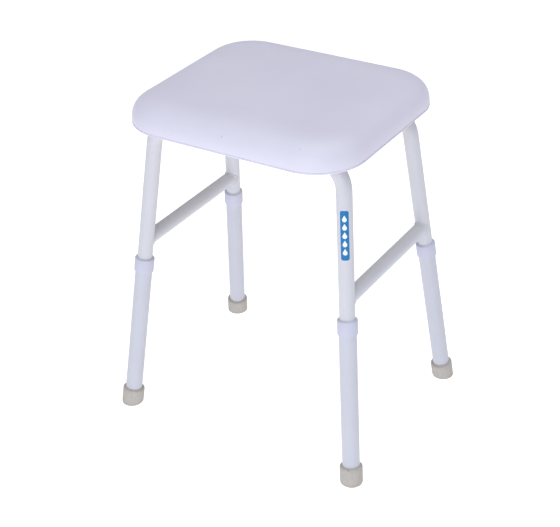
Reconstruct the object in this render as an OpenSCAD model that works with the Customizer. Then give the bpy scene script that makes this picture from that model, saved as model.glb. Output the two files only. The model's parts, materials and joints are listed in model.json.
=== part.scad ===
/* [Seat] */
// Overall width of the seat pad, left to right
seat_w = 358; // [300:1:450]
// Overall depth of the seat pad, front to back
seat_d = 316; // [250:1:400]
// Height of the seat's top above the floor at the lowest setting
seat_h = 518; // [450:1:650]
// Total thickness of the moulded pad at its edge
pad_t = 40; // [34:1:60]
// Plan radius of the pad's corners
pad_corner_r = 72; // [50:1:110]
// Radius that rolls the pad's top into its side
pad_edge_r = 36; // [20:1:40]
// Radius along the pad's lower outer edge
pad_lip_r = 1.5; // [0.5:0.5:3]
// How far the pad's skirt hangs below the base board
pad_skirt = 5; // [2:0.5:10]
// Width of the pad's skirt, from its outside to the board's edge
skirt_w = 16; // [10:1:30]
// Thickness of the plywood base board
board_t = 12; // [9:1:18]

/* [Frame] */
// Distance between left and right foot centres on the floor
foot_span_x = 391; // [330:1:480]
// Distance between front and rear foot centres on the floor
foot_span_y = 302; // [250:1:400]
// Outward splay of each leg, measured in the plane of its hoop
leg_splay = 5.5; // [0:0.1:9]
// Outward lean of each hoop, front or rear
hoop_lean = 7.1; // [0:0.1:10]
// Outside diameter of the hoop tube
hoop_od = 22.2; // [19:0.1:28]
// Wall of the hoop tube
hoop_wall = 1.5; // [1:0.1:2.5]
// Centreline radius of the hoop's two bends
bend_r = 42; // [34:1:60]
// Outside diameter of the side brace tube
brace_od = 21; // [16:0.1:21.5]
// Wall of the side brace tube
brace_wall = 1.5; // [1:0.1:2.5]
// Height of the side brace's centreline above the floor
brace_h = 281; // [278:1:330]

/* [Adjustable legs] */
// Wall of the outer leg tube that slides on the hoop
leg_wall = 1.52; // [1:0.01:2.5]
// Radial running clearance between the hoop and the outer leg tube
slide_clearance = 0.08; // [0.02:0.01:0.1]
// Where the outer leg tube ends at its top, measured up the leg from the floor
leg_top = 254.7; // [240:0.1:256]
// Where the hoop tube ends inside the outer leg tube, measured up the leg
hoop_end = 45; // [38:1:60]
// Height of the snap button's centre above the hoop tube's end
button_rise = 25; // [18:1:35]
// Distance between height settings
hole_pitch = 25; // [20:0.5:26]
// Number of height settings
hole_count = 7; // [3:1:7]
// Clearance between the snap button and the holes in the outer leg tube
hole_clearance = 0.2; // [0.15:0.05:0.4]

/* [Snap buttons] */
// Diameter of the snap button
button_d = 7.8; // [6:0.1:9]
// Radial running clearance between the button and its hole in the hoop tube
button_clearance = 0.08; // [0.02:0.01:0.1]
// How far the button stands out of the outer leg tube
button_proud = 2.8; // [1.5:0.1:4]
// Width of the spring strip behind the button
spring_w = 7; // [5:0.5:8]
// Thickness of the spring strip
spring_t = 0.6; // [0.4:0.1:1]
// Height of the spring's bend above the button's centre
spring_l = 34; // [24:1:45]
// Length of the spring's straight ends below the button's centre
spring_tail = 7; // [5:0.5:10]
// Clearance round the button's stem in the spring strip
stem_clearance = 0.2; // [0.1:0.05:0.4]

/* [Collars and feet] */
// Wall of the plastic collar over the outer leg tube
collar_wall = 1.8; // [1.2:0.1:3]
// Length of the collar
collar_l = 23; // [18:0.5:30]
// Thickness of the collar's top lip, which covers the end of the outer leg tube
collar_lip = 2; // [1:0.1:4]
// Outside diameter of the rubber ferrule
ferrule_od = 33; // [30:0.1:40]
// Length of the ferrule, measured up the leg from the floor
ferrule_l = 28; // [24:0.5:40]
// Thickness of rubber under the steel disc, at the leg's centreline
ferrule_sole = 9; // [7:0.5:12]
// Thickness of the steel disc that keeps the leg tube from cutting the rubber
disc_t = 1.5; // [1:0.1:3]
// Depth of the grip grooves in the ferrule's sole
groove_depth = 1.2; // [0.5:0.1:2]
// Width of the grip grooves
groove_w = 1.8; // [1:0.1:3]
// Distance between the grip grooves
groove_pitch = 5; // [4:0.5:7]

/* [Fixings] */
// Distance between the two seat screws in each hoop
screw_span = 180; // [120:1:220]
// Thread diameter of the seat screws
screw_d = 6; // [5:1:8]
// Diameter of the seat screws' heads
screw_head_d = 12; // [10:0.5:16]
// Height of the seat screws' heads
screw_head_h = 4; // [2.5:0.1:6]
// Radial clearance round the seat screws
screw_clearance = 0.3; // [0.2:0.05:0.6]
// Length of the saddle washer along the hoop
saddle_l = 16; // [14:1:24]
// Thickness of the saddle washer under the tube
saddle_t = 2.5; // [2:0.1:5]
// Diameter of the tee nut's flange
tee_flange_d = 19; // [15:0.5:24]
// Outside diameter of the tee nut's barrel
tee_barrel_d = 8.4; // [7.5:0.1:11]
// Length of the tee nut's barrel below its flange
tee_barrel_l = 9; // [6:0.5:9]
// Thickness of the tee nut's flange
tee_flange_t = 1.4; // [1:0.1:2]
// Room in the pad above each tee nut for the end of its screw
screw_room = 3; // [2:0.5:6]

/* [Label] */
// Length of the label along the leg
label_l = 70; // [40:1:90]
// Width of the label round the tube
label_w = 11.5; // [8:0.5:14]
// Thickness of the label
label_t = 0.25; // [0.2:0.05:0.5]
// Height of the label's centre, measured up the leg
label_rise = 381; // [340:1:390]
// Direction that the label faces, turned from the front towards the right
label_turn = 26; // [0:1:60]

/* [Hidden] */
$fn = 96;
LEGS = ["front_left", "front_right", "rear_left", "rear_right"];

eps = 0.01;
foot_x = foot_span_x / 2;
foot_y = foot_span_y / 2;

// Heights through the seat, from the top down
seat_bottom = seat_h - pad_t;
board_bottom = seat_bottom + pad_skirt;
hoop_top = board_bottom - hoop_od / 2;

// Each hoop lies in its own leaning plane: across it is x, up it is w
// The bends' centres are rounded, so that each bend and the top run share exact faces
hoop_up = rounded(hoop_top / cos(hoop_lean));
bend_turn = 90 - leg_splay;
bend_tangent = bend_r * tan(bend_turn / 2);
bend_x = rounded(foot_x - hoop_up * tan(leg_splay) - bend_tangent);
bend_up = hoop_up - bend_r;
hoop_leg_l = hoop_up / cos(leg_splay) - bend_tangent - hoop_end;

// Faint mark where each straight leg enters its bend
mark_h = 0.02;
mark_l = 0.2;

// Radii that slide in one another
hoop_r = hoop_od / 2;
leg_bore_r = hoop_r + slide_clearance;
leg_r = leg_bore_r + leg_wall;
collar_r = leg_r + collar_wall;

// Places along a leg
disc_bottom = ferrule_sole;
leg_bottom = ferrule_sole + disc_t;
collar_top = leg_top + collar_lip;
button_l = hoop_end + button_rise;
button_hole_r = button_d / 2 + button_clearance;
leg_hole_r = button_d / 2 + hole_clearance;
stem_r = button_d / 5;

// Distance of the spring strip's outer face from the leg's centreline
spring_gap = 0.05;
strip_y = sqrt(pow(hoop_r - hoop_wall, 2) - pow(spring_w / 2, 2)) - spring_gap;

screw_hole_r = screw_d / 2 + screw_clearance;
thread_gap = 0.05;
tee_thread_r = screw_d / 2 + thread_gap;
screw_show = 1;
hoop_top_y = foot_y - hoop_up * sin(hoop_lean);
foam_grey = [0.80, 0.80, 0.88];
paint_grey = [0.86, 0.86, 0.90];

// To a thousandth of a millimetre
function rounded(v) = round(v * 1000) / 1000;

// Index of a leg to its side: -1 left or front, 1 right or rear
function side_x(leg) = leg % 2 == 0 ? -1 : 1;
function side_y(leg) = leg < 2 ? -1 : 1;

// Leaning plane of the front (-1) or rear (1) hoop
module in_hoop(sy) {
    translate([0, sy * foot_y, 0])
        rotate([sy * hoop_lean, 0, 0])
            children();
}

// Frame of a leg: z runs up its centreline from the floor, y faces the rear
module on_leg(sx, sy) {
    in_hoop(sy)
        translate([sx * foot_x, 0, 0])
            rotate([0, -sx * leg_splay, 0])
                children();
}

// The four places where a screw joins a hoop to the seat
module at_screws() {
    for (sx = [-1, 1])
        for (sy = [-1, 1])
            translate([sx * screw_span / 2, sy * hoop_top_y, 0])
                children();
}

module tube(r_out, r_in, z0, z1) {
    translate([0, 0, z0])
        difference() {
            cylinder(r = r_out, h = z1 - z0);
            translate([0, 0, -eps])
                cylinder(r = r_in, h = z1 - z0 + 2 * eps);
        }
}

// ---- Seat ----

// Half section of the pad's edge, from the corner centre outwards
module pad_edge_profile() {
    side_h = pad_t - pad_edge_r;
    difference() {
        union() {
            square([pad_corner_r - pad_edge_r, pad_t]);
            square([pad_corner_r, side_h]);
            translate([pad_corner_r - pad_edge_r, side_h])
                intersection() {
                    circle(r = pad_edge_r);
                    square(pad_edge_r);
                }
        }
        translate([pad_corner_r - pad_lip_r, 0])
            difference() {
                translate([0, -eps])
                    square([pad_lip_r + eps, pad_lip_r + eps]);
                translate([0, pad_lip_r])
                    circle(r = pad_lip_r);
            }
    }
}

// Rounded rectangle from its overall size and corner radius
module rounded_plate(w, d, r, h) {
    cx = w / 2 - r;
    cy = d / 2 - r;
    translate([-w / 2, -cy, 0])
        cube([w, 2 * cy, h]);
    translate([-cx, -d / 2, 0])
        cube([2 * cx, d, h]);
    for (sx = [-1, 1])
        for (sy = [-1, 1])
            translate([sx * cx, sy * cy, 0])
                cylinder(r = r, h = h);
}

module pad_body() {
    cx = seat_w / 2 - pad_corner_r;
    cy = seat_d / 2 - pad_corner_r;
    translate([-cx, -cy, 0])
        cube([2 * cx, 2 * cy, pad_t]);
    for (turn = [0, 180])
        rotate(turn) {
            translate([cx, cy, 0])
                rotate([90, 0, 0])
                    linear_extrude(2 * cy)
                        pad_edge_profile();
            translate([-cx, cy, 0])
                rotate([90, 0, 90])
                    linear_extrude(2 * cx)
                        pad_edge_profile();
            translate([cx, cy, 0])
                rotate_extrude(angle = 90)
                    pad_edge_profile();
            translate([-cx, cy, 0])
                rotate(90)
                    rotate_extrude(angle = 90)
                        pad_edge_profile();
        }
}

module board_plate(h) {
    rounded_plate(seat_w - 2 * skirt_w, seat_d - 2 * skirt_w, pad_corner_r - skirt_w, h);
}

module seat_pad() {
    flange_z = board_bottom + board_t;
    color(foam_grey)
        difference() {
            translate([0, 0, seat_bottom])
                pad_body();
            translate([0, 0, seat_bottom - 1])
                board_plate(1 + pad_skirt + board_t);
            at_screws()
                translate([0, 0, flange_z - 1])
                    cylinder(d = tee_flange_d, h = 1 + tee_flange_t);
            at_screws()
                translate([0, 0, flange_z - 1])
                    cylinder(d = tee_barrel_d, h = 1 + tee_flange_t + screw_room);
        }
}

module seat_base_board() {
    color("burlywood")
        difference() {
            translate([0, 0, board_bottom])
                board_plate(board_t);
            at_screws()
                translate([0, 0, board_bottom - 1])
                    cylinder(d = tee_barrel_d, h = board_t + 2);
        }
}

module tee_nuts() {
    color("silver")
        at_screws()
            translate([0, 0, board_bottom + board_t])
                difference() {
                    union() {
                        cylinder(d = tee_flange_d, h = tee_flange_t);
                        translate([0, 0, -tee_barrel_l])
                            cylinder(d = tee_barrel_d, h = tee_barrel_l + tee_flange_t);
                    }
                    translate([0, 0, -tee_barrel_l - 1])
                        cylinder(r = tee_thread_r, h = tee_barrel_l + tee_flange_t + 2);
                }
}

module seat_screws() {
    chamfer = 1;
    socket_d = 0.77 * screw_d;
    socket_depth = 0.6 * screw_head_h;
    head_top = hoop_top - hoop_r - saddle_t;
    head_bottom = head_top - screw_head_h;
    screw_end = board_bottom + board_t + tee_flange_t + screw_show;
    color("silver")
        at_screws()
            difference() {
                union() {
                    translate([0, 0, head_bottom])
                        cylinder(d1 = screw_head_d - 2 * chamfer, d2 = screw_head_d, h = chamfer);
                    translate([0, 0, head_bottom + chamfer])
                        cylinder(d = screw_head_d, h = screw_head_h - chamfer);
                    translate([0, 0, head_top - 1])
                        cylinder(d = screw_d, h = screw_end - head_top + 1);
                }
                translate([0, 0, head_bottom - 1])
                    cylinder(d = socket_d, h = 1 + socket_depth, $fn = 6);
            }
}

module saddle_washers() {
    wrap = 0.35 * hoop_r;
    bottom = hoop_top - hoop_r - saddle_t;
    height = saddle_t + wrap;
    color("whitesmoke")
        at_screws()
            difference() {
                translate([-saddle_l / 2, -saddle_l / 2, bottom])
                    cube([saddle_l, saddle_l, height]);
                translate([-saddle_l, 0, hoop_top])
                    rotate([0, 90, 0])
                        cylinder(r = hoop_r, h = 2 * saddle_l);
                translate([0, 0, bottom - 1])
                    cylinder(r = screw_hole_r, h = height + 2);
            }
}

// ---- Frame ----

module hoop_section() {
    difference() {
        circle(r = hoop_r);
        circle(r = hoop_r - hoop_wall);
    }
}

// Bent top of a hoop: its top run and both bends
module hoop_top_run() {
    translate([-bend_x, 0, bend_up + bend_r])
        rotate([0, 90, 0])
            linear_extrude(2 * bend_x)
                hoop_section();
    for (sx = [-1, 1])
        translate([sx * bend_x, 0, bend_up])
            rotate([90, 0, 0])
                rotate_extrude(angle = bend_turn, start = sx > 0 ? leg_splay : 90)
                    translate([bend_r, 0])
                        hoop_section();
}

// Straight leg of a hoop, with the faint bending mark that joins it to its bend
module hoop_leg(sx) {
    translate([sx * bend_x, 0, bend_up])
        rotate([90, 0, 0])
            rotate(sx > 0 ? leg_splay : 180 - leg_splay)
                translate([bend_r, 0, 0])
                    rotate([sx * 90, 0, 0]) {
                        tube(hoop_r, hoop_r - hoop_wall, mark_l / 4, hoop_leg_l);
                        tube(hoop_r + mark_h, hoop_r - hoop_wall - mark_h, -mark_l / 2, mark_l / 2);
                    }
}

module hoop(sy) {
    color(paint_grey)
        difference() {
            in_hoop(sy) {
                hoop_top_run();
                hoop_leg(-1);
                hoop_leg(1);
            }
            for (sx = [-1, 1]) {
                on_leg(sx, sy)
                    translate([0, 0, button_l])
                        rotate([-90, 0, 0])
                            cylinder(r = button_hole_r, h = hoop_od);
                translate([sx * screw_span / 2, sy * hoop_top_y, hoop_top - hoop_od])
                    cylinder(r = screw_hole_r, h = 2 * hoop_od);
            }
        }
}

// Side brace between the front and rear legs, its ends cut to fit round them
module brace(sx) {
    at_leg_l = brace_h / cos(hoop_lean) / cos(leg_splay);
    brace_x = foot_x - brace_h / cos(hoop_lean) * tan(leg_splay);
    brace_y = foot_y - brace_h * tan(hoop_lean);
    color(paint_grey)
        difference() {
            translate([sx * brace_x, brace_y, brace_h])
                rotate([90, 0, 0])
                    difference() {
                        cylinder(d = brace_od, h = 2 * brace_y);
                        translate([0, 0, -1])
                            cylinder(d = brace_od - 2 * brace_wall, h = 2 * brace_y + 2);
                    }
            for (sy = [-1, 1])
                on_leg(sx, sy)
                    translate([0, 0, at_leg_l - 3 * brace_od])
                        cylinder(r = hoop_r, h = 6 * brace_od);
        }
}

// Thin label wrapped on the front right leg
module frame_label() {
    end_r = label_w / 4;
    color("deepskyblue")
        on_leg(1, -1)
            rotate(label_turn)
                translate([0, 0, label_rise - label_l / 2])
                    intersection() {
                        tube(hoop_r + label_t, hoop_r, 0, label_l);
                        rotate([90, 0, 0])
                            linear_extrude(2 * hoop_r) {
                                translate([-label_w / 2, end_r])
                                    square([label_w, label_l - 2 * end_r]);
                                translate([-label_w / 2 + end_r, 0])
                                    square([label_w - 2 * end_r, label_l]);
                                for (x = [-1, 1])
                                    for (z = [end_r, label_l - end_r])
                                        translate([x * (label_w / 2 - end_r), z])
                                            circle(r = end_r);
                            }
                    }
}

// ---- Adjustable legs ----

module outer_leg(sx, sy) {
    color(paint_grey)
        on_leg(sx, sy)
            difference() {
                tube(leg_r, leg_bore_r, leg_bottom, leg_top);
                for (i = [0 : hole_count - 1])
                    translate([0, 0, button_l + i * hole_pitch])
                        rotate([-90, 0, 0])
                            cylinder(r = leg_hole_r, h = 2 * leg_r);
            }
}

module collar(sx, sy) {
    chamfer = 0.6;
    color([0.80, 0.80, 0.90])
        on_leg(sx, sy)
            rotate_extrude()
                polygon([
                    [leg_bore_r, leg_top],
                    [leg_bore_r, collar_top],
                    [collar_r - chamfer, collar_top],
                    [collar_r, collar_top - chamfer],
                    [collar_r, collar_top - collar_l + chamfer],
                    [collar_r - chamfer, collar_top - collar_l],
                    [leg_r, collar_top - collar_l],
                    [leg_r, leg_top]
                ]);
}

module ferrule(sx, sy) {
    rim_r = 1.2;
    outer = ferrule_od / 2;
    reach = 2 * ferrule_od;
    below = ferrule_od / 4;
    groove_r = 0.42 * outer;
    color([0.72, 0.70, 0.68])
        difference() {
            on_leg(sx, sy)
                difference() {
                    union() {
                        translate([0, 0, -below])
                            cylinder(r = outer, h = ferrule_l - rim_r + below);
                        translate([0, 0, ferrule_l - rim_r])
                            cylinder(r1 = outer, r2 = outer - rim_r, h = rim_r);
                    }
                    translate([0, 0, ferrule_sole])
                        cylinder(r = leg_r, h = ferrule_l);
                }
            translate([sx * foot_x - reach / 2, sy * foot_y - reach / 2, -reach])
                cube(reach);
            translate([sx * foot_x, sy * foot_y, -1])
                for (r = [groove_r, groove_r + groove_pitch])
                    tube(r, r - groove_w, 0, 1 + groove_depth);
        }
}

module ferrule_disc(sx, sy) {
    color("silver")
        on_leg(sx, sy)
            translate([0, 0, disc_bottom])
                cylinder(r = leg_r, h = disc_t);
}

// ---- Snap buttons ----

module snap_button(sx, sy) {
    tip = leg_r + button_proud;
    dome = button_d / 4;
    strip_gap = 0.1;
    rivet_r = button_d / 3;
    rivet_h = 1;
    rivet_top = strip_y - spring_t - strip_gap;
    color("silver")
        on_leg(sx, sy)
            translate([0, 0, button_l])
                rotate([-90, 0, 0])
                    rotate_extrude()
                        polygon([
                            [0, rivet_top - rivet_h],
                            [rivet_r, rivet_top - rivet_h],
                            [rivet_r, rivet_top],
                            [stem_r, rivet_top],
                            [stem_r, strip_y + strip_gap],
                            [button_d / 2, strip_y + strip_gap],
                            [button_d / 2, tip - dome],
                            for (a = [15 : 15 : 90])
                                [button_d / 2 - dome * (1 - cos(a)), tip - dome + dome * sin(a)],
                            [0, tip]
                        ]);
}

// V-shaped spring strip inside the hoop tube, its bend above the button
module button_spring(sx, sy) {
    turn_r = 3;
    straight_top = button_l + button_d;
    bend_z = button_l + spring_l;
    arm_angle = atan((strip_y - turn_r) / (bend_z - straight_top));
    arm_l = (bend_z - straight_top) / cos(arm_angle);
    color("silver")
        on_leg(sx, sy)
            difference() {
                translate([-spring_w / 2, 0, 0])
                    rotate([90, 0, 90])
                        linear_extrude(spring_w) {
                            for (m = [0, 1])
                                mirror([m, 0]) {
                                    translate([strip_y - spring_t, button_l - spring_tail])
                                        square([spring_t, spring_tail + button_d]);
                                    translate([strip_y, straight_top])
                                        rotate(arm_angle)
                                            translate([-spring_t, 0])
                                                square([spring_t, arm_l]);
                                }
                            translate([0, bend_z])
                                difference() {
                                    circle(r = turn_r);
                                    circle(r = turn_r - spring_t);
                                    translate([-turn_r, -turn_r - spring_t])
                                        square([2 * turn_r, turn_r]);
                                }
                        }
                translate([0, 0, button_l])
                    rotate([-90, 0, 0])
                        cylinder(r = stem_r + stem_clearance, h = hoop_od);
            }
}

seat_pad();
seat_base_board();
tee_nuts();
hoop(-1);  // front_frame_hoop
hoop(1);  // rear_frame_hoop
brace(-1);  // left_brace
brace(1);  // right_brace
saddle_washers();
seat_screws();
frame_label();
for (i = [0 : 3]) {
    outer_leg(side_x(i), side_y(i));
    collar(side_x(i), side_y(i));
    ferrule(side_x(i), side_y(i));
    ferrule_disc(side_x(i), side_y(i));
    snap_button(side_x(i), side_y(i));
    button_spring(side_x(i), side_y(i));
}
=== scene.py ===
# %% [markdown]
# # A height-adjustable shower stool
#
# The stool is a moulded foam seat on two bent steel hoops. Two braces join the hoops, four outer legs
# slide on them, and each outer leg ends in a rubber foot. The metal parts are exact CAD solids already,
# so this lesson keeps them and gives them their finishes. The soft and moulded pieces are made afresh:
# the seat pad, the four collars, the four rubber feet, the weld beads between the tubes, and the springs
# behind the snap buttons.

import json
import math

import bmesh
import bpy
from mathutils import Matrix, Vector, noise


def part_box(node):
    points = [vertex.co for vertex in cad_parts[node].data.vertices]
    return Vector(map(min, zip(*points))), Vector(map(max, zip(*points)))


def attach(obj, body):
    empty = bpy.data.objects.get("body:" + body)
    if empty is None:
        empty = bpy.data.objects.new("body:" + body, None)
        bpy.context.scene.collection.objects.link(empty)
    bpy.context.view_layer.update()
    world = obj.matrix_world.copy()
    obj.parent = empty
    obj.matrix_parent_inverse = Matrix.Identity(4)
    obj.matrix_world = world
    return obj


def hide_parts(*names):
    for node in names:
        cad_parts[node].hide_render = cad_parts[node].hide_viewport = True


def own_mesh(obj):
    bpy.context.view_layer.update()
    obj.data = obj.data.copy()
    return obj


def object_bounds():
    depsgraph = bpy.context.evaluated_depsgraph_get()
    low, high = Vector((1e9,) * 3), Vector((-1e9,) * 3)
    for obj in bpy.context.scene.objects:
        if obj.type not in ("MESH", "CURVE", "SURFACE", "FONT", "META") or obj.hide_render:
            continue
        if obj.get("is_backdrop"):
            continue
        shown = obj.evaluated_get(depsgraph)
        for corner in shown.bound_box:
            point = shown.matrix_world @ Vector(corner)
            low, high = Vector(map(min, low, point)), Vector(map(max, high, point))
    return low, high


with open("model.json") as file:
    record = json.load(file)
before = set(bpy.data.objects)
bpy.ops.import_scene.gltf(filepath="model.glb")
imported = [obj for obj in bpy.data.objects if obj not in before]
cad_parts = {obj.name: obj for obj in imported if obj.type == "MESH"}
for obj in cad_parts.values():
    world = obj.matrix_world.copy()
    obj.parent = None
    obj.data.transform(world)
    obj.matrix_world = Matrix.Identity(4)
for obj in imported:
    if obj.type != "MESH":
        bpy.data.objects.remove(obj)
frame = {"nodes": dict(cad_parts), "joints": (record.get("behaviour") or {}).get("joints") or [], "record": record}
cad_low, cad_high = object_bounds()
mm = 0.001
SIDES = {"front_left": (-1, -1), "front_right": (1, -1), "rear_left": (-1, 1), "rear_right": (1, 1)}
print("stool", [round(v / mm) for v in cad_high - cad_low], "mm, nodes", len(frame["nodes"]))

# %% [markdown]
# ## The leaning legs
#
# Every leg leans outwards in two directions, so nothing on it lines up with X, Y or Z. The record knows
# the way, though: each foot has a mount on the floor, each outer leg slides along its own axis, and each
# snap button is pressed straight in. Those three facts make one matrix for each leg, in which Z runs up
# the middle of the tube and Y faces the rear. Everything turned or wrapped round a leg is built upright
# in that simple frame and then carried to its place.

# %% One matrix for each leg
joints = {j["name"]: j for j in frame["joints"]}
mounts = {m["name"]: Vector(m["pos_m"]) for m in frame["record"]["mounts"]}


def leg_matrix(side):
    up = -Vector(joints["height_" + side]["axis"]).normalized()
    rear = -Vector(joints["press_" + side]["axis"]).normalized()
    across = rear.cross(up).normalized()
    turn = Matrix((across, rear, up)).transposed().to_4x4()
    return Matrix.Translation(mounts["foot_" + side]) @ turn


LEG = {side: leg_matrix(side) for side in SIDES}
tilt = math.degrees(math.acos(LEG["front_right"].col[2].z))
print("each leg leans", round(tilt, 1), "degrees")


# %% Measure a turned CAD part about its leg
def turned_size(node, side):
    """Inner radius, outer radius, lowest and highest place along the leg."""
    inverse = LEG[side].inverted()
    points = [inverse @ v.co for v in frame["nodes"][node].data.vertices]
    radii = [math.hypot(p.x, p.y) for p in points]
    heights = [p.z for p in points]
    return min(radii), max(radii), min(heights), max(heights)


leg_bore, leg_r, leg_low, leg_high = turned_size("outer_leg_front_right", "front_right")
collar_bore, collar_r, collar_low, collar_high = turned_size("collar_front_right", "front_right")
ferrule_r = turned_size("ferrule_front_right", "front_right")[1]
print("outer leg", round(2 * leg_r / mm, 1), "mm, collar", round(2 * collar_r / mm, 1), "mm")

# %% [markdown]
# ## The camera
#
# A tripod stands in front of the stool and to its right, a little above it, and looks down at about
# thirty degrees. The camera is placed by where it aims, how far off it stands and how it is turned,
# which is how a camera crew would note it down. A slight roll and a tiny lens shift finish the framing.

# %% Set the camera
camera_aim = Vector((0.0025, -0.0023, 0.419 * cad_high.z))
camera_distance = 2.0
camera_turn = math.radians(32.02)
camera_height_angle = math.radians(31.26)
camera_roll = math.radians(1.51)

lens = bpy.data.cameras.new("camera")
lens.lens = 85.84
lens.shift_x = -0.0123
lens.shift_y = 0.0134
camera = bpy.data.objects.new("camera", lens)
bpy.context.scene.collection.objects.link(camera)
camera_matrix = (
    Matrix.Translation(camera_aim)
    @ Matrix.Rotation(camera_turn, 4, "Z")
    @ Matrix.Rotation(math.pi / 2 - camera_height_angle, 4, "X")
    @ Matrix.Rotation(-camera_roll, 4, "Z")
    @ Matrix.Translation((0, 0, camera_distance))
)
camera.matrix_world = camera_matrix
bpy.context.scene.camera = camera
print("camera stands at", [round(v, 2) for v in camera_matrix.translation])

# %% [markdown]
# ## The studio
#
# A catalogue shot is lit so evenly that the floor almost disappears. Here the floor is a pale sheet that
# glows a little by itself, as a light table does, so shadows stay faint. A soft panel stands near the
# camera and fairly close, so the corner that faces it is the brightest, the sides are a little darker
# and the rear legs darker still. A panel overhead lights the top.
#
# The seat frame is the body that stays put, so a leg that is pulled out goes down. The sheet therefore
# lies as low as the feet ever go, or it would hide them when a leg is out. The price is that at rest the
# feet hang above the sheet. It is so bright and even that no shadow gives this away from the usual
# camera heights, but from very low down the gap can be seen.

# %% Build the floor and the lights
scene = bpy.context.scene
scene.view_settings.view_transform = "Standard"
scene.view_settings.look = "None"


def plane_object(name, half, z=0.0):
    mesh = bpy.data.meshes.new(name)
    corners = [(-half, -half, z), (half, -half, z), (half, half, z), (-half, half, z)]
    mesh.from_pydata(corners, [], [(0, 1, 2, 3)])
    obj = bpy.data.objects.new(name, mesh)
    scene.collection.objects.link(obj)
    return obj


leg_travel = joints["height_front_right"]["range_m"][1]
floor_z = -leg_travel * LEG["front_right"].col[2].z
floor = plane_object("studio_floor", 40.0, floor_z)
floor_paper = bpy.data.materials.new("floor_paper")
floor_paper.use_nodes = True
paper_shader = floor_paper.node_tree.nodes["Principled BSDF"]
paper_shader.inputs["Base Color"].default_value = (0.93, 0.93, 0.94, 1)
paper_shader.inputs["Roughness"].default_value = 0.9
paper_shader.inputs["Emission Color"].default_value = (1, 1, 1, 1)
paper_shader.inputs["Emission Strength"].default_value = 0.58
floor.data.materials.append(floor_paper)
floor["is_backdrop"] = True

world = bpy.data.worlds.new("studio_room")
world.use_nodes = True
world.node_tree.nodes["Background"].inputs["Color"].default_value = (0.96, 0.97, 1.0, 1)
world.node_tree.nodes["Background"].inputs["Strength"].default_value = 0.41
scene.world = world


def soft_panel(name, place, aim, size, watts):
    panel = bpy.data.lights.new(name, "AREA")
    panel.shape = "RECTANGLE"
    panel.size, panel.size_y = size
    panel.energy = watts
    light = bpy.data.objects.new(name, panel)
    facing = (Vector(place) - Vector(aim)).to_track_quat("Z", "Y")
    light.matrix_world = Matrix.Translation(place) @ facing.to_matrix().to_4x4()
    scene.collection.objects.link(light)
    return light


middle = Vector((0, 0, cad_high.z / 2))
soft_panel("front_panel", (0.42, -1.8, 1.0), middle, (1.1, 1.0), 13.2)
soft_panel("top_panel", (0.3, 0.2, 3.0), middle, (2.4, 2.4), 35)

# %% [markdown]
# ## Small helpers for finishes
#
# Every finish here starts as one Principled shader with its fixed numbers on the shader's own sockets.
# Then texture nodes add what varies: colour, roughness and bump. All textures read Object coordinates,
# which are metres in the stool's own frame, so a scale of 1000 repeats about once a millimetre.


# %% Start a finish, add nodes, and join them
def start_finish(name, colour, roughness, **fixed):
    material = bpy.data.materials.new(name)
    material.use_nodes = True
    tree = material.node_tree
    shader = tree.nodes["Principled BSDF"]
    shader.inputs["Base Color"].default_value = (*colour, 1)
    shader.inputs["Roughness"].default_value = roughness
    for socket, value in fixed.items():
        shader.inputs[socket.replace("_", " ")].default_value = value
    return material, tree, shader


def add(tree, kind, inputs=None, **settings):
    """Adds a node; a value in inputs is a number, a colour, or another node's output to join to it."""
    node = tree.nodes.new(kind)
    for name, value in settings.items():
        setattr(node, name, value)
    for name, value in (inputs or {}).items():
        if isinstance(value, bpy.types.NodeSocket):
            tree.links.new(value, node.inputs[name])
        else:
            node.inputs[name].default_value = value
    return node


def place(tree):
    return add(tree, "ShaderNodeTexCoord").outputs["Object"]


def grain(tree, size, detail=2.0, stretch=None):
    """Noise whose features are about size metres across; stretch squeezes or lengthens it per axis."""
    where = place(tree)
    if stretch:
        where = add(tree, "ShaderNodeMapping", {"Vector": where, "Scale": stretch}).outputs[0]
    made = add(tree, "ShaderNodeTexNoise", {"Vector": where, "Scale": 1 / size, "Detail": detail})
    return made.outputs["Fac"]


def ramp(tree, value, low, high, out_low=0.0, out_high=1.0):
    inputs = {"Value": value, "From Min": low, "From Max": high, "To Min": out_low, "To Max": out_high}
    return add(tree, "ShaderNodeMapRange", inputs).outputs["Result"]


def blend_colours(tree, share, colour_a, colour_b):
    mixer = add(tree, "ShaderNodeMix", data_type="RGBA")
    sockets = {6: colour_a, 7: colour_b}
    for index, colour in sockets.items():
        if isinstance(colour, bpy.types.NodeSocket):
            tree.links.new(colour, mixer.inputs[index])
        else:
            mixer.inputs[index].default_value = (*colour, 1)
    tree.links.new(share, mixer.inputs[0])
    return mixer.outputs[2]


def sum_of(tree, a, b, operation="ADD"):
    node = add(tree, "ShaderNodeMath", operation=operation)
    for socket, value in zip(node.inputs, (a, b)):
        if isinstance(value, bpy.types.NodeSocket):
            tree.links.new(value, socket)
        else:
            socket.default_value = value
    return node.outputs[0]


def marks(tree, places, radius):
    """1 inside any of the small round marks, 0 outside, with a soft edge."""
    mask = None
    for centre in places:
        away = add(tree, "ShaderNodeVectorMath", operation="DISTANCE")
        tree.links.new(place(tree), away.inputs[0])
        away.inputs[1].default_value = centre
        one = ramp(tree, away.outputs["Value"], 0.5 * radius, radius, 1, 0)
        mask = one if mask is None else sum_of(tree, mask, one, "MAXIMUM")
    return mask


def raise_surface(tree, shader, height, depth, strength=1.0):
    inputs = {"Height": height, "Distance": depth, "Strength": strength}
    bump = add(tree, "ShaderNodeBump", inputs)
    tree.links.new(bump.outputs["Normal"], shader.inputs["Normal"])


def drive(tree, shader, socket, output):
    tree.links.new(output, shader.inputs[socket])


print("finish helpers ready")

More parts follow.
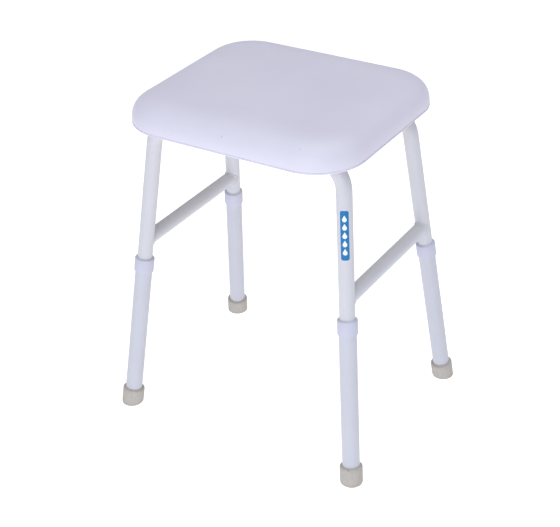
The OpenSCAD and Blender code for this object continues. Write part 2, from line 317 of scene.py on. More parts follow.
# %% [markdown]
# ## The seat's skin
#
# The seat is integral-skin foam: it is poured into a warm mould, and where it meets the cold steel it
# closes up into a tough, satin, waterproof skin. The mould's fine leather texture prints into it. So the
# finish has a pebbled grain less than a millimetre across, softer patches in its gloss, and hardly any
# change of colour. A Voronoi texture gives the pebbles and two noises give the patches. Two tiny vents in
# the mould's front leave brownish pips on the roll, which the finish draws where they are.


# %% Moulded skin
def moulded_skin():
    skin = (0.650, 0.644, 0.785)
    skin_worn = (0.672, 0.668, 0.805)
    material, tree, shader = start_finish(
        "moulded_skin", skin, 0.46, Specular_IOR_Level=0.42, Sheen_Weight=0.12)
    pip_colour, pip_r = (0.52, 0.40, 0.36), 1.3 * mm
    pips = marks(tree, [(0.0012, -0.1519, 0.5019), (0.1171, -0.1451, 0.5079)], pip_r)
    patches = grain(tree, 0.11, 3)
    tone = blend_colours(tree, ramp(tree, patches, 0.35, 0.65), skin, skin_worn)
    pip_share = sum_of(tree, pips, 0.8, "MULTIPLY")
    drive(tree, shader, "Base Color", blend_colours(tree, pip_share, tone, pip_colour))
    drive(tree, shader, "Roughness", ramp(tree, grain(tree, 0.03), 0.3, 0.7, 0.42, 0.52))
    pebble_size = 1.1 * mm
    pebble_inputs = {"Vector": place(tree), "Scale": 1 / pebble_size}
    pebbles = add(tree, "ShaderNodeTexVoronoi", pebble_inputs, feature="SMOOTH_F1")
    pebble_height = sum_of(tree, pebbles.outputs["Distance"], grain(tree, 0.0004))
    raise_surface(tree, shader, pebble_height, 0.00006, 0.55)
    return material


SKIN = moulded_skin()
print("made", SKIN.name)

# %% [markdown]
# ## Powder coat
#
# The tubes are sprayed with dry paint powder and baked. The powder melts and flows, but never quite
# flat, so it keeps a faint "orange peel" a millimetre or two across, and a satin gloss. Where one tube
# slides on another the coat gets rubbed, in fine lines along the tube. The two coats here differ only
# by a touch of colour: the frame is whiter and the sliding legs are slightly cooler.


# %% Powder coat for the frame and for the legs
def powder_coat(name, colour, rubbed, rub_from, rub_to):
    material, tree, shader = start_finish(name, colour, 0.36, Specular_IOR_Level=0.35)
    height = add(tree, "ShaderNodeSeparateXYZ", {"Vector": place(tree)}).outputs["Z"]
    fade_in = ramp(tree, height, rub_from - 4 * mm, rub_from)
    fade_out = ramp(tree, height, rub_to, rub_to + 20 * mm, 1, 0)
    lines = ramp(tree, grain(tree, 0.0007, 1, (1, 1, 0.03)), 0.55, 0.75)
    rub = sum_of(tree, sum_of(tree, fade_in, fade_out, "MULTIPLY"), lines, "MULTIPLY")
    darker = tuple(0.97 * c for c in colour)
    tone = blend_colours(tree, ramp(tree, grain(tree, 0.06, 3), 0.3, 0.7), colour, darker)
    drive(tree, shader, "Base Color", blend_colours(tree, sum_of(tree, rub, 0.6, "MULTIPLY"), tone, rubbed))
    satin = ramp(tree, grain(tree, 0.012), 0.3, 0.7, 0.31, 0.38)
    drive(tree, shader, "Roughness", sum_of(tree, satin, sum_of(tree, rub, 0.15, "MULTIPLY")))
    raise_surface(tree, shader, grain(tree, 0.0016, 1), 0.00005, 0.35)
    return material


rub_colour = (0.53, 0.53, 0.56)
frame_rub_from, frame_rub_to = cad_high.z * 0.49, cad_high.z * 0.53
leg_rub_to = leg_low + 20 * mm
FRAME_COAT = powder_coat(
    "frame_powder_coat", (0.605, 0.62, 0.69), rub_colour, frame_rub_from, frame_rub_to)
LEG_COAT = powder_coat("leg_powder_coat", (0.56, 0.575, 0.665), rub_colour, leg_low, leg_rub_to)
print("made", FRAME_COAT.name, "and", LEG_COAT.name)

# %% [markdown]
# ## Moulded plastic, rubber and metal
#
# The collars are matt polyethylene, coloured through, so scratches don't show another colour. The feet
# are grey-beige rubber that picks up dust and grows darker towards the floor. The screws are zinc
# plated, the snap buttons are bright nickel, and the spring strips are blued steel with rolling lines.
# Each has its own small recipe, because each is made in its own way.


# %% Collar plastic, saddle plastic and foot rubber
def matt_plastic(name, colour, roughness):
    material, tree, shader = start_finish(name, colour, roughness, Specular_IOR_Level=0.4)
    flow = grain(tree, 0.009, 2, (1, 1, 2.5))
    paler = tuple(min(1, c * 1.03) for c in colour)
    drive(tree, shader, "Base Color", blend_colours(tree, ramp(tree, flow, 0.35, 0.65), colour, paler))
    drive(tree, shader, "Roughness", ramp(tree, flow, 0.3, 0.7, roughness - 0.05, roughness + 0.05))
    raise_surface(tree, shader, grain(tree, 0.0005, 2), 0.00003, 0.5)
    return material


def foot_rubber():
    clean, dusty, low_band_dark = (0.445, 0.42, 0.397), (0.48, 0.457, 0.437), (0.36, 0.338, 0.318)
    material, tree, shader = start_finish("foot_rubber", clean, 0.72, Specular_IOR_Level=0.3)
    dust = ramp(tree, grain(tree, 0.004, 4), 0.42, 0.62)
    height = add(tree, "ShaderNodeSeparateXYZ", {"Vector": place(tree)}).outputs["Z"]
    # Within 7 mm of the floor the rubber turns darker in patches.
    low_band = ramp(tree, height, 0.0, 7 * mm, 1, 0)
    near_floor = sum_of(tree, low_band, ramp(tree, grain(tree, 0.002, 3), 0.35, 0.6), "MULTIPLY")
    # Two mould pinholes near the rim are painted as near-black dots: painted shade inside holes that the mesh
    # doesn't have.
    pinhole_shade_dots = marks(tree, [(0.1968, -0.1630, 0.0284), (-0.1886, -0.1599, 0.0288)], 1.3 * mm)
    tone = blend_colours(tree, dust, clean, dusty)
    tone = blend_colours(tree, near_floor, tone, low_band_dark)
    pinhole_shade_colour, pinhole_shade_share = (0.16, 0.13, 0.12), sum_of(tree, pinhole_shade_dots, 0.7, "MULTIPLY")
    drive(tree, shader, "Base Color", blend_colours(tree, pinhole_shade_share, tone, pinhole_shade_colour))
    drive(tree, shader, "Roughness", ramp(tree, dust, 0, 1, 0.66, 0.82))
    raise_surface(tree, shader, sum_of(tree, grain(tree, 0.0006, 2), grain(tree, 0.003, 2)), 0.00008, 0.5)
    return material


COLLAR_PLASTIC = matt_plastic("collar_plastic", (0.54, 0.552, 0.69), 0.46)
SADDLE_PLASTIC = matt_plastic("saddle_plastic", (0.80, 0.80, 0.81), 0.40)
RUBBER = foot_rubber()
print("made", COLLAR_PLASTIC.name, SADDLE_PLASTIC.name, RUBBER.name)


# %% Zinc, nickel and spring steel
def plated_metal(name, colour, other, roughness, patch, stretch=None, depth=0.00002):
    material, tree, shader = start_finish(name, colour, roughness, Metallic=1.0)
    spread = ramp(tree, grain(tree, patch, 3, stretch), 0.35, 0.65)
    drive(tree, shader, "Base Color", blend_colours(tree, spread, colour, other))
    drive(tree, shader, "Roughness", ramp(tree, spread, 0, 1, roughness - 0.06, roughness + 0.08))
    raise_surface(tree, shader, grain(tree, patch / 6, 2, stretch), depth, 0.5)
    return material


ZINC = plated_metal("zinc_plate", (0.66, 0.68, 0.71), (0.74, 0.73, 0.70), 0.34, 0.004)
NICKEL = plated_metal("bright_nickel", (0.78, 0.77, 0.75), (0.82, 0.81, 0.79), 0.14, 0.003, depth=0.000008)
SPRING_STEEL = plated_metal(
    "spring_steel", (0.34, 0.35, 0.38), (0.42, 0.42, 0.44), 0.32, 0.0012, (1, 1, 0.05))
print("made", ZINC.name, NICKEL.name, SPRING_STEEL.name)

# %% [markdown]
# ## Plywood for the base board
#
# The seat screws on to a plywood board, which only shows from underneath. Its face is birch veneer:
# long stretched figure along the board, fine pores, and a thin coat of sealer. Its edge shows the plies
# as light and dark bands, which are simply steps of height.


# %% Sealed plywood
def sealed_plywood(board_low, board_high, plies=7):
    pale, deep, edge_dark = (0.60, 0.44, 0.27), (0.47, 0.32, 0.18), (0.33, 0.21, 0.12)
    material, tree, shader = start_finish("sealed_plywood", pale, 0.5, Specular_IOR_Level=0.4)
    figure = ramp(tree, grain(tree, 0.02, 4, (0.12, 1, 1)), 0.35, 0.65)
    pores = ramp(tree, grain(tree, 0.0008, 2, (0.06, 1, 1)), 0.56, 0.7)
    height = add(tree, "ShaderNodeSeparateXYZ", {"Vector": place(tree)}).outputs["Z"]
    in_plies = ramp(tree, height, board_low, board_high, 0, plies)
    band = sum_of(tree, sum_of(tree, in_plies, 2.0, "MODULO"), 1.0, "GREATER_THAN")
    veneer = blend_colours(tree, figure, pale, deep)
    face = blend_colours(tree, sum_of(tree, pores, 0.5, "MULTIPLY"), veneer, edge_dark)
    facing = add(tree, "ShaderNodeNewGeometry").outputs["Normal"]
    upright = add(tree, "ShaderNodeSeparateXYZ", {"Vector": facing}).outputs["Z"]
    is_edge = sum_of(tree, sum_of(tree, upright, 0.0, "ABSOLUTE"), 0.5, "LESS_THAN")
    edge = blend_colours(tree, band, pale, edge_dark)
    drive(tree, shader, "Base Color", blend_colours(tree, is_edge, face, edge))
    raise_surface(tree, shader, pores, 0.00008, 0.6)
    return material


board_low, board_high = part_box("seat_base_board")
PLYWOOD = sealed_plywood(board_low.z, board_high.z)
print("made", PLYWOOD.name)

# %% [markdown]
# ## The label
#
# A narrow glossy label is wrapped on the front right leg. Instead of any name it carries a plain row of
# water drops, which says "bathroom" without words. The drops are drawn by the material: a Mapping node
# set to Texture undoes the leg's lean, so the pattern reads across the tube and up it, and arithmetic on
# those two lengths gives one drop that repeats.


# %% Label film with a row of drops
def label_film(side, middle_up, length, turn, drops=5):
    blue, white = (0.004, 0.175, 0.45), (0.86, 0.88, 0.92)
    material, tree, shader = start_finish("label_film", blue, 0.28, Specular_IOR_Level=0.35)
    matrix = LEG[side] @ Matrix.Rotation(turn, 4, "Z") @ Matrix.Translation((0, 0, middle_up))
    undo = add(tree, "ShaderNodeMapping", {"Vector": place(tree)}, vector_type="TEXTURE")
    undo.inputs["Location"].default_value = matrix.translation
    undo.inputs["Rotation"].default_value = matrix.to_euler()
    parts = add(tree, "ShaderNodeSeparateXYZ", {"Vector": undo.outputs[0]})
    pitch = 0.84 * length / drops
    drop_r, drop_tip, taper_from = 3.1 * mm, 6.2 * mm, 1.2 * mm
    cell = sum_of(tree, parts.outputs["Z"], pitch / 2 if drops % 2 else 0.0, "ADD")
    up = sum_of(tree, sum_of(tree, cell, pitch, "FLOORED_MODULO"), -0.42 * pitch, "ADD")
    across = sum_of(tree, parts.outputs["X"], 0.0, "ABSOLUTE")
    squared = sum_of(tree, sum_of(tree, across, across, "MULTIPLY"), sum_of(tree, up, up, "MULTIPLY"))
    round_part = sum_of(tree, squared, drop_r * drop_r, "LESS_THAN")
    taper = ramp(tree, up, taper_from, drop_tip, 0.93 * drop_r, 0.0)
    above = sum_of(tree, up, taper_from, "GREATER_THAN")
    tip_part = sum_of(tree, sum_of(tree, across, taper, "LESS_THAN"), above, "MULTIPLY")
    drop = sum_of(tree, round_part, tip_part, "MAXIMUM")
    along = sum_of(tree, parts.outputs["Z"], 0.0, "ABSOLUTE")
    in_row = sum_of(tree, along, 0.5 * drops * pitch, "LESS_THAN")
    in_drop = sum_of(tree, drop, in_row, "MULTIPLY")
    drive(tree, shader, "Base Color", blend_colours(tree, in_drop, blue, white))
    drive(tree, shader, "Roughness", ramp(tree, grain(tree, 0.004), 0.3, 0.7, 0.24, 0.34))
    raise_surface(tree, shader, grain(tree, 0.006), 0.00003, 0.4)
    return material


label_points = [LEG["front_right"].inverted() @ v.co for v in frame["nodes"]["frame_label"].data.vertices]
label_low, label_high = min(p.z for p in label_points), max(p.z for p in label_points)
label_turn = math.radians(26)
LABEL = label_film("front_right", (label_low + label_high) / 2, label_high - label_low, label_turn)
print("label is", round((label_high - label_low) / mm), "mm long")


# %% Dress the CAD nodes in their finishes
def dress(node, material):
    mesh = frame["nodes"][node].data
    mesh.materials.clear()
    mesh.materials.append(material)


for node in ("front_frame_hoop", "rear_frame_hoop", "left_brace", "right_brace"):
    dress(node, FRAME_COAT)
for side in SIDES:
    dress("outer_leg_" + side, LEG_COAT)
    dress("snap_button_" + side, NICKEL)
    dress("ferrule_disc_" + side, ZINC)
for node, material in {"seat_base_board": PLYWOOD, "tee_nuts": ZINC, "seat_screws": ZINC,
                       "saddle_washers": SADDLE_PLASTIC, "frame_label": LABEL}.items():
    dress(node, material)
print("dressed", sum(len(o.data.materials) == 1 for o in frame["nodes"].values()), "CAD nodes")

# %% [markdown]
# ## Meshes made of rings
#
# The seat pad and the rubber feet are both closed skins that can be wrapped in rings: start at a point
# in the middle of one face, walk outwards and round, and end at a point in the middle of the other. One
# helper stitches any such stack of rings into a smooth mesh.


# %% Stitch rings into a closed skin
def ring_skin(name, rings, material):
    """rings are lists of points of one length; a ring of a single point closes that end."""
    points, faces, starts = [], [], []
    for ring in rings:
        starts.append(len(points))
        points.extend(ring)
    for here, there, a, b in zip(rings, rings[1:], starts, starts[1:]):
        count = max(len(here), len(there))
        for i in range(count):
            j = (i + 1) % count
            if len(here) == 1:
                faces.append((a, b + j, b + i))
            elif len(there) == 1:
                faces.append((a + i, a + j, b))
            else:
                faces.append((a + i, a + j, b + j, b + i))
    mesh = bpy.data.meshes.new(name)
    mesh.from_pydata([tuple(p) for p in points], [], faces)
    mesh.update()
    mesh.shade_smooth()
    obj = bpy.data.objects.new(name, mesh)
    scene.collection.objects.link(obj)
    mesh.materials.append(material)
    return obj


def volume_of(obj):
    obj.data.calc_loop_triangles()
    corners = [[obj.data.vertices[i].co for i in t.vertices] for t in obj.data.loop_triangles]
    return sum(a.dot(b.cross(c)) for a, b, c in corners) / 6


print("ring helper ready")

# %% [markdown]
# ## The seat pad
#
# The pad is one moulding: a rounded rectangle whose top rolls over into its sides with a large radius.
# It has a very slight crown, so that water runs off. Its skirt hangs a little below the board and ends in
# a fine rim with a groove above it, where the two halves of the mould met. Cloth simulation would be
# wrong here, since nothing is stretched over anything, so the pad is drawn by formula: at each ring the
# outline moves in by some inset while the height follows the edge's profile. The roll is wide, but squarer
# than an ellipse, so the side looks flat and turns into the top rather quickly. Over the board's middle
# the roof stands off a little, which leaves room for the nuts and the screws' ends.

# %% Measure the pad's box and corner
pad_low, pad_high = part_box("seat_pad")
half_w, half_d = pad_high.x, pad_high.y
pad_t = pad_high.z - pad_low.z
reach = max(v.co.x + v.co.y for v in frame["nodes"]["seat_pad"].data.vertices)
corner_r = (half_w + half_d - reach) / (2 - math.sqrt(2))
recess_inset = pad_high.x - board_high.x
print("pad", [round(v / mm) for v in pad_high - pad_low], "mm, corner radius", round(corner_r / mm, 1), "mm")


# %% Outline of the pad at any inset
corner_steps, long_steps, short_steps = 22, 26, 22


def outline(inset):
    """Points round a rounded rectangle that lies inset metres inside the pad's outside."""
    r = corner_r - inset
    cx, cy = half_w - corner_r, half_d - corner_r
    points = []
    for quarter, (sx, sy) in enumerate(((1, 1), (-1, 1), (-1, -1), (1, -1))):
        for i in range(corner_steps):
            angle = math.pi / 2 * (quarter + i / corner_steps)
            points.append((sx * cx + r * math.cos(angle), sy * cy + r * math.sin(angle)))
        steps = long_steps if quarter % 2 == 0 else short_steps
        end = math.pi / 2 * (quarter + 1)
        start = (sx * cx + r * math.cos(end), sy * cy + r * math.sin(end))
        nx, ny = ((-1, 1), (-1, -1), (1, -1), (1, 1))[quarter]
        goal = (nx * cx + r * math.cos(end), ny * cy + r * math.sin(end))
        for i in range(steps):
            t = i / steps
            points.append((start[0] * (1 - t) + goal[0] * t, start[1] * (1 - t) + goal[1] * t))
    return points


print("each ring has", len(outline(0)), "points")

# %% Profile of the pad's edge, from the recess under the board out, up and over
crown = 2.2 * mm
rim_h, rim_r, inner_r = 2.4 * mm, 0.8 * mm, 1.0 * mm
groove_depth, side_inset = 0.9 * mm, 0.35 * mm
roll_from = 1.5 * mm
roll_w, roll_h, roll_power = 58 * mm, pad_t - roll_from, 2.8
roof = board_high.z - pad_low.z
pocket_ledge, pocket_h = 12 * mm, 2.6 * mm


def arc(cx, cz, r, start, end, steps):
    """Points of an arc in (inset, height), its angles in degrees, 0 towards the outside and 90 up."""
    angles = [math.radians(start + (end - start) * i / steps) for i in range(steps + 1)]
    return [(cx - r * math.cos(a), cz + r * math.sin(a)) for a in angles]


def roll_point(share):
    """A point on the roll from the side, share 0, to the top, share 1, squarer than an ellipse."""
    a = math.pi / 2 * share
    out, up = math.cos(a) ** (2 / roll_power), math.sin(a) ** (2 / roll_power)
    return side_inset + (roll_w - side_inset) * (1 - out), roll_from + roll_h * up


pocket_inset = recess_inset + pocket_ledge
profile = [(pocket_inset, roof + pocket_h), (pocket_inset, roof)]
profile += [(recess_inset, h) for h in (roof, roof - 1 * mm, roof / 2, 1.5 * inner_r)]
profile += arc(recess_inset - inner_r, inner_r, inner_r, 180, 270, 4)
profile += [(recess_inset / 2, 0.0)]
profile += arc(rim_r, rim_r, rim_r, -90, 0, 6)
profile += arc(rim_r, rim_h - rim_r, rim_r, 0, 80, 5)
profile += [(groove_depth, rim_h + 0.1 * mm), (groove_depth, rim_h + 0.35 * mm)]
profile += [(side_inset + 0.15 * mm, rim_h + 0.75 * mm)]
roll_steps = 40
shares = [i / roll_steps for i in range(roll_steps + 1)]
profile += [p for p in map(roll_point, shares) if p[1] > rim_h + 1.0 * mm]
print("profile has", len(profile), "points, and the roll is", round(roll_w / mm), "mm wide")


# %% Lay the rings, with the crown and the foam's slight unevenness
def pad_height(x, y, height):
    """Lowers the rolled edge by the crown and lets the skin swell and sink by a few hundredths."""
    share = max(0.0, (height - roll_from) / roll_h)
    dome = (1 - (x / half_w) ** 2) * (1 - (y / half_d) ** 2)
    swell = 0.18 * mm * noise.noise(Vector((x, y, height)) * 16)
    return pad_low.z + height - crown * share * (1 - dome) + swell * share


def pad_ring(inset, height):
    return [(x, y, pad_height(x, y, height)) for x, y in outline(inset)]


def shrunk_ring(ring_points, share, height):
    if share == 0:
        return [(0, 0, pad_height(0, 0, height))]
    return [(x * share, y * share, pad_height(x * share, y * share, height)) for x, y in ring_points]


roof_steps, top_steps = 6, 26
roof_outline = outline(pocket_inset)
rings = [shrunk_ring(roof_outline, i / roof_steps, roof + pocket_h) for i in range(roof_steps)]
rings += [pad_ring(inset, height) for inset, height in profile]
top_outline = outline(roll_w)
rings += [shrunk_ring(top_outline, 1 - i / top_steps, pad_t) for i in range(1, top_steps + 1)]
pad = ring_skin("moulded_seat_pad", rings, SKIN)
print("pad has", len(pad.data.polygons), "faces and a volume of", round(volume_of(pad) * 1e6), "cm3")

# %% [markdown]
# ## The collars, turned with Geometry Nodes
#
# Each outer leg wears a moulded collar that covers its cut end and steadies it on the hoop. A collar is
# a shape turned about an axis, so it follows a rule: one outline swept round a circle. Geometry Nodes do
# the sweep. The input is the outline, drawn once as a closed chain of edges, with the radius as X and
# the height as Y. The tree turns it into a curve, sweeps it round, and sets the finish.


# %% A tree that turns an outline about an axis
def turning_tree():
    tree = bpy.data.node_groups.new("turn_round_axis", "GeometryNodeTree")
    face = tree.interface
    face.new_socket("Outline", in_out="INPUT", socket_type="NodeSocketGeometry")
    steps = face.new_socket("Steps Round", in_out="INPUT", socket_type="NodeSocketInt")
    axis_r = face.new_socket("Sweep Radius", in_out="INPUT", socket_type="NodeSocketFloat")
    finish = face.new_socket("Finish", in_out="INPUT", socket_type="NodeSocketMaterial")
    face.new_socket("Turned Part", in_out="OUTPUT", socket_type="NodeSocketGeometry")
    given = tree.nodes.new("NodeGroupInput")
    result = tree.nodes.new("NodeGroupOutput")
    shift = tree.nodes.new("ShaderNodeCombineXYZ")
    less = tree.nodes.new("ShaderNodeMath")
    less.operation = "MULTIPLY"
    less.inputs[1].default_value = -1.0
    tree.links.new(given.outputs["Sweep Radius"], less.inputs[0])
    tree.links.new(less.outputs[0], shift.inputs["X"])
    moved = tree.nodes.new("GeometryNodeTransform")
    tree.links.new(given.outputs["Outline"], moved.inputs["Geometry"])
    tree.links.new(shift.outputs[0], moved.inputs["Translation"])
    outline_curve = tree.nodes.new("GeometryNodeMeshToCurve")
    tree.links.new(moved.outputs["Geometry"], outline_curve.inputs["Mesh"])
    circle = tree.nodes.new("GeometryNodeCurvePrimitiveCircle")
    tree.links.new(given.outputs["Steps Round"], circle.inputs["Resolution"])
    tree.links.new(given.outputs["Sweep Radius"], circle.inputs["Radius"])
    upright = tree.nodes.new("GeometryNodeSetCurveNormal")
    upright.mode = "Z_UP"
    tree.links.new(circle.outputs["Curve"], upright.inputs["Curve"])
    sweep = tree.nodes.new("GeometryNodeCurveToMesh")
    tree.links.new(upright.outputs["Curve"], sweep.inputs["Curve"])
    tree.links.new(outline_curve.outputs["Curve"], sweep.inputs["Profile Curve"])
    real = tree.nodes.new("GeometryNodeRealizeInstances")
    tree.links.new(sweep.outputs["Mesh"], real.inputs["Geometry"])
    painted = tree.nodes.new("GeometryNodeSetMaterial")
    tree.links.new(real.outputs["Geometry"], painted.inputs["Geometry"])
    tree.links.new(given.outputs["Finish"], painted.inputs["Material"])
    tree.links.new(painted.outputs["Geometry"], result.inputs["Turned Part"])
    return tree, {"steps": steps.identifier, "radius": axis_r.identifier, "finish": finish.identifier}


TURN, TURN_INPUTS = turning_tree()
print("tree", TURN.name, "has", len(TURN.nodes), "nodes")


# %% Evaluate a tree once and keep its result as a plain mesh
def settle(obj):
    """Replaces the object's mesh by what its modifiers make of it, and removes them."""
    bpy.context.view_layer.update()
    evaluated = obj.evaluated_get(bpy.context.evaluated_depsgraph_get())
    made = bpy.data.meshes.new_from_object(evaluated)
    obj.modifiers.clear()
    obj.data = made
    made.name = obj.name
    return obj


def chain_object(name, points, closed=True):
    """An object whose mesh is only a chain of edges through the points."""
    last = len(points) - 1
    edges = [(i, i + 1) for i in range(last)] + ([(last, 0)] if closed else [])
    mesh = bpy.data.meshes.new(name)
    mesh.from_pydata([tuple(p) for p in points], edges, [])
    obj = bpy.data.objects.new(name, mesh)
    scene.collection.objects.link(obj)
    return obj


def smooth_within(obj, degrees):
    """Smooth shading that keeps edges sharper than this angle."""
    obj.data.shade_smooth()
    obj.data.set_sharp_from_angle(angle=math.radians(degrees))
    return obj


# %% Outline of the collar and its four turnings
shoulder_steps = 9


def shoulder_point(i, power=1.5):
    """How far out and how far up a sloping, rounded shoulder has gone at step i."""
    a = math.pi / 2 * i / shoulder_steps
    return math.sin(a) ** (2 / power), math.cos(a) ** (2 / power)


def quarter_turn(steps=6):
    return [math.pi / 2 * i / steps for i in range(steps + 1)]


def collar_outline():
    slope_w, slope_h, edge = 3.0 * mm, 2.2 * mm, 0.9 * mm
    step_z = leg_high
    sleeve_r = leg_r + 0.02 * mm
    points = [(collar_bore, step_z), (collar_bore, collar_high)]
    points += [(collar_r - slope_w * (1 - out), collar_high - slope_h * (1 - up))
               for out, up in map(shoulder_point, range(shoulder_steps + 1))]
    points += [(collar_r - edge * (1 - math.cos(a)), collar_low + edge * (1 - math.sin(a)))
               for a in quarter_turn()]
    points += [(sleeve_r, collar_low), (sleeve_r, step_z)]
    return [(r, z, 0) for r, z in points]


def turn_part(name, side, outline_points, material, steps=72, sweep_r=20 * mm):
    obj = chain_object(name, outline_points)
    turned = obj.modifiers.new("turned", "NODES")
    turned.node_group = TURN
    turned[TURN_INPUTS["steps"]] = steps
    turned[TURN_INPUTS["radius"]] = sweep_r
    turned[TURN_INPUTS["finish"]] = material
    settle(obj)
    heights = [v.co.z for v in obj.data.vertices]
    if min(heights) < 0:
        obj.data.transform(Matrix.Rotation(math.pi, 4, "X"))
    if volume_of(obj) < 0:
        obj.data.flip_normals()
    smooth_within(obj, 40)
    obj.data.transform(LEG[side])
    return obj


collars = {side: turn_part("collar_ring_" + side, side, collar_outline(), COLLAR_PLASTIC) for side in SIDES}
print("each collar has", len(collars["front_left"].data.polygons), "faces")

# %% [markdown]
# ## The rubber feet
#
# A foot is a thick rubber cup with a steel disc in its floor. The legs lean but the sole stands flat, so
# the cup is longer on one side than on the other. Each ring of the foot is therefore drawn in the leg's
# own frame, but measured up from where that line of rubber meets the floor. The rim is rounded, the
# lower edge is rounded so that it doesn't trip, and two grip rings are moulded into the sole.

# %% Sizes of a foot
rim_up = turned_size("ferrule_front_right", "front_right")[3]
cup_floor = leg_low
cup_r = leg_r + 0.05 * mm
edge_r = 2.6 * mm
shoulder_w, shoulder_h = 3.4 * mm, 2.6 * mm
foot_steps = 72
grip_inner, grip_pitch, grip_width, grip_depth = 6.9 * mm, 5.0 * mm, 1.8 * mm, 1.2 * mm
print("foot", round(2 * ferrule_r / mm, 1), "mm across and", round(rim_up / mm), "mm tall")


# %% Rings of a foot, from the middle of its cup, over the rim and down to the sole
def floor_height(matrix, x, y):
    """How far up the leg's Z a line at (x, y) meets the floor."""
    up = matrix.col[2]
    start = matrix @ Vector((x, y, 0))
    return -start.z / up.z


def foot_ring(matrix, r, height, from_floor):
    points = []
    for i in range(foot_steps):
        angle = 2 * math.pi * i / foot_steps
        x, y = r * math.cos(angle), r * math.sin(angle)
        base = floor_height(matrix, x, y) * from_floor
        points.append(matrix @ Vector((x, y, base + height)))
    return points


def foot_rings(matrix):
    rings = [[matrix @ Vector((0, 0, cup_floor))], foot_ring(matrix, cup_r, cup_floor, 0)]
    rings.append(foot_ring(matrix, cup_r, rim_up, 0))
    for out, up in map(shoulder_point, range(shoulder_steps + 1)):
        r, height = ferrule_r - shoulder_w * (1 - out), rim_up - shoulder_h * (1 - up)
        rings.append(foot_ring(matrix, r, height, 0))
    for share in (0.15, 0.5, 0.85):
        height = (1 - share) * (rim_up - shoulder_h) + share * edge_r
        rings.append(foot_ring(matrix, ferrule_r, height, share))
    for a in quarter_turn():
        r, height = ferrule_r - edge_r * (1 - math.cos(a)), edge_r * (1 - math.sin(a))
        rings.append(foot_ring(matrix, r, height, 1))
    lip = 0.25 * mm
    for outer in (grip_inner + grip_pitch, grip_inner):
        for r, h in ((outer + lip, 0), (outer, lip), (outer, grip_depth), (outer - grip_width, grip_depth),
                     (outer - grip_width, lip), (outer - grip_width - lip, 0)):
            rings.append(foot_ring(matrix, r, h, 1))
    rings.append(foot_ring(matrix, grip_inner / 3, 0, 1))
    rings.append([matrix @ Vector((0, 0, floor_height(matrix, 0, 0)))])
    return rings


def make_foot(side):
    obj = ring_skin("rubber_foot_" + side, foot_rings(LEG[side]), RUBBER)
    if volume_of(obj) < 0:
        obj.data.flip_normals()
    return smooth_within(obj, 50)


feet = {side: make_foot(side) for side in SIDES}
print("lowest point of a foot", round(min(v.co.z for v in feet["front_left"].data.vertices) / mm, 3), "mm")

# %% [markdown]
# ## Weld beads
#
# The braces are welded to the hoops all the way round. A weld bead is a row of overlapping puddles, each
# laid as the torch moves on, and the powder coat softens them. The seam's path follows from the two
# cylinders: round the brace, each line along it is followed until it meets the leg's tube. Geometry Nodes
# then lay a round bead along that path and set a flattened puddle at each step, with a fixed seed.


# %% Path of the seam between a brace and a leg
def seam_path(brace, side, points=72):
    low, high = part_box(brace)
    centre, r = (low + high) / 2, (high.z - low.z) / 2
    matrix = LEG[side]
    axis_point, axis = matrix.translation, Vector(matrix.col[2][:3])
    hoop_r = leg_bore - 0.08 * mm
    along = Vector((0, 1, 0))
    along_flat = along - axis * along.dot(axis)
    path = []
    for i in range(points):
        angle = 2 * math.pi * i / points
        start = Vector((centre.x + r * math.cos(angle), 0, centre.z + r * math.sin(angle))) - axis_point
        flat = start - axis * start.dot(axis)
        a, b, c = along_flat.length_squared, 2 * flat.dot(along_flat), flat.length_squared - hoop_r**2
        root = math.sqrt(max(0.0, b * b - 4 * a * c))
        travel = min(((-b - root) / (2 * a), (-b + root) / (2 * a)), key=abs)
        path.append(axis_point + start + along * travel)
    return path


seams = {side: seam_path("left_brace" if sx < 0 else "right_brace", side) for side, (sx, sy) in SIDES.items()}
seam_length = sum((a - b).length for a, b in zip(seams["front_right"], seams["front_right"][1:]))
print("each seam is", round(seam_length / mm), "mm long")


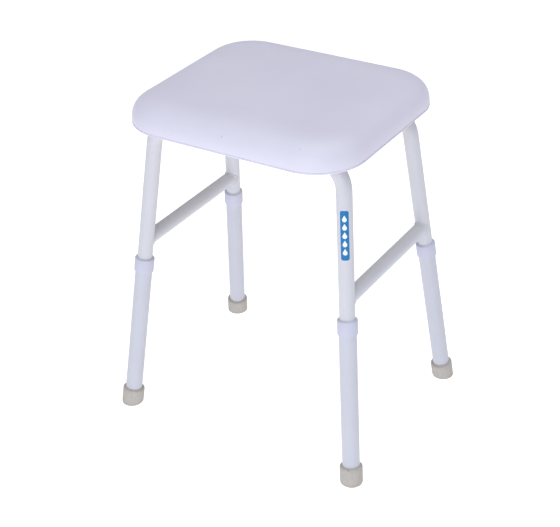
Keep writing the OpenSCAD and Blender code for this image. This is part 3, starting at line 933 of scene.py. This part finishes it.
# %% A tree that lays a weld bead along a path
def weld_tree():
    tree = bpy.data.node_groups.new("lay_weld_bead", "GeometryNodeTree")
    face = tree.interface
    face.new_socket("Path", in_out="INPUT", socket_type="NodeSocketGeometry")
    sockets = {name: face.new_socket(label, in_out="INPUT", socket_type=kind) for name, label, kind in (
        ("radius", "Bead Radius", "NodeSocketFloat"), ("pitch", "Puddle Pitch", "NodeSocketFloat"),
        ("seed", "Seed", "NodeSocketInt"), ("finish", "Finish", "NodeSocketMaterial"))}
    face.new_socket("Weld", in_out="OUTPUT", socket_type="NodeSocketGeometry")
    given, result = tree.nodes.new("NodeGroupInput"), tree.nodes.new("NodeGroupOutput")
    path = add(tree, "GeometryNodeMeshToCurve", {"Mesh": given.outputs["Path"]})
    evenly = add(tree, "GeometryNodeResampleCurve",
                 {"Curve": path.outputs["Curve"], "Length": given.outputs["Puddle Pitch"]}, mode="LENGTH")
    bead_r = given.outputs["Bead Radius"]
    bead_profile = add(tree, "GeometryNodeCurvePrimitiveCircle", {"Radius": bead_r, "Resolution": 12})
    bead = add(tree, "GeometryNodeCurveToMesh", {
        "Curve": path.outputs["Curve"], "Profile Curve": bead_profile.outputs["Curve"]})
    puddle = add(tree, "GeometryNodeMeshIcoSphere", {"Radius": bead_r, "Subdivisions": 3})
    tangent = add(tree, "GeometryNodeInputTangent")
    facing = add(tree, "FunctionNodeAlignRotationToVector", {"Vector": tangent.outputs["Tangent"]}, axis="X")
    size = add(tree, "FunctionNodeRandomValue", {"Seed": given.outputs["Seed"]}, data_type="FLOAT_VECTOR")
    size.inputs["Min"].default_value = (0.62, 1.08, 1.08)
    size.inputs["Max"].default_value = (0.74, 1.20, 1.20)
    puddles = add(tree, "GeometryNodeInstanceOnPoints", {
        "Points": evenly.outputs["Curve"], "Instance": puddle.outputs["Mesh"],
        "Rotation": facing.outputs["Rotation"], "Scale": size.outputs["Value"]})
    both = tree.nodes.new("GeometryNodeJoinGeometry")
    tree.links.new(puddles.outputs["Instances"], both.inputs["Geometry"])
    tree.links.new(bead.outputs["Mesh"], both.inputs["Geometry"])
    real = add(tree, "GeometryNodeRealizeInstances", {"Geometry": both.outputs["Geometry"]})
    painted = add(tree, "GeometryNodeSetMaterial", {
        "Geometry": real.outputs["Geometry"], "Material": given.outputs["Finish"]})
    tree.links.new(painted.outputs["Geometry"], result.inputs["Weld"])
    return tree, {name: socket.identifier for name, socket in sockets.items()}


WELD, WELD_INPUTS = weld_tree()
print("tree", WELD.name, "has", len(WELD.nodes), "nodes")

# %% Weld all four joints as one piece
weld_points = [p for side in SIDES for p in seams[side]]
count = len(seams["front_left"])
weld_edges = [(k * count + i, k * count + (i + 1) % count) for k in range(len(SIDES)) for i in range(count)]
weld_mesh = bpy.data.meshes.new("weld_beads")
weld_mesh.from_pydata([tuple(p) for p in weld_points], weld_edges, [])
welds = bpy.data.objects.new("weld_beads", weld_mesh)
scene.collection.objects.link(welds)
laid = welds.modifiers.new("laid", "NODES")
laid.node_group = WELD
laid[WELD_INPUTS["radius"]] = 1.5 * mm
laid[WELD_INPUTS["pitch"]] = 1.6 * mm
laid[WELD_INPUTS["seed"]] = 7
laid[WELD_INPUTS["finish"]] = FRAME_COAT
settle(welds)
welds.data.shade_smooth()
print("weld beads have", len(welds.data.polygons), "faces")

# %% [markdown]
# ## The spring strips
#
# Inside each hoop leg a V-shaped strip of spring steel pushes the snap button out. When the button is
# pressed, the strip's rear arm goes in with it and the front arm stays against the tube. A plain solid
# can't do that. Each strip is copied from its CAD solid and its loose triangles are merged; the copy
# stays with the frame and keeps its shape.


# %% Copy the four spring strips
def spring_copy(side):
    mesh = frame["nodes"]["button_spring_" + side].data.copy()
    shape = bmesh.new()
    shape.from_mesh(mesh)
    bmesh.ops.remove_doubles(shape, verts=shape.verts, dist=0.001 * mm)
    shape.to_mesh(mesh)
    shape.free()
    mesh.name = "spring_strip_" + side
    mesh.materials.clear()
    mesh.materials.append(SPRING_STEEL)
    obj = bpy.data.objects.new(mesh.name, mesh)
    scene.collection.objects.link(obj)
    return smooth_within(obj, 30)


springs = {side: spring_copy(side) for side in SIDES}
print("each spring strip has", len(springs["front_left"].data.polygons), "faces")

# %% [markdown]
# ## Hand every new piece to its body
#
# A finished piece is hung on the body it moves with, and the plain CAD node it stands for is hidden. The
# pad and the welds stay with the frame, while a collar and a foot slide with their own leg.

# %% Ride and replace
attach(pad, "frame")
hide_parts("seat_pad")
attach(welds, "frame")
for side in SIDES:
    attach(collars[side], "leg_" + side)
    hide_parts("collar_" + side)
    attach(feet[side], "leg_" + side)
    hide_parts("ferrule_" + side)
    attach(springs[side], "frame")
    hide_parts("button_spring_" + side)
    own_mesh(springs[side])
print("pieces handed over:", 2 + len(collars) + len(feet) + len(springs))

# %% Note the sizes and finish
new_low, new_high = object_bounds()
for label, extent in (("CAD", cad_high - cad_low), ("visual", new_high - new_low)):
    print(label, "size in mm", [round(v / mm, 1) for v in extent])
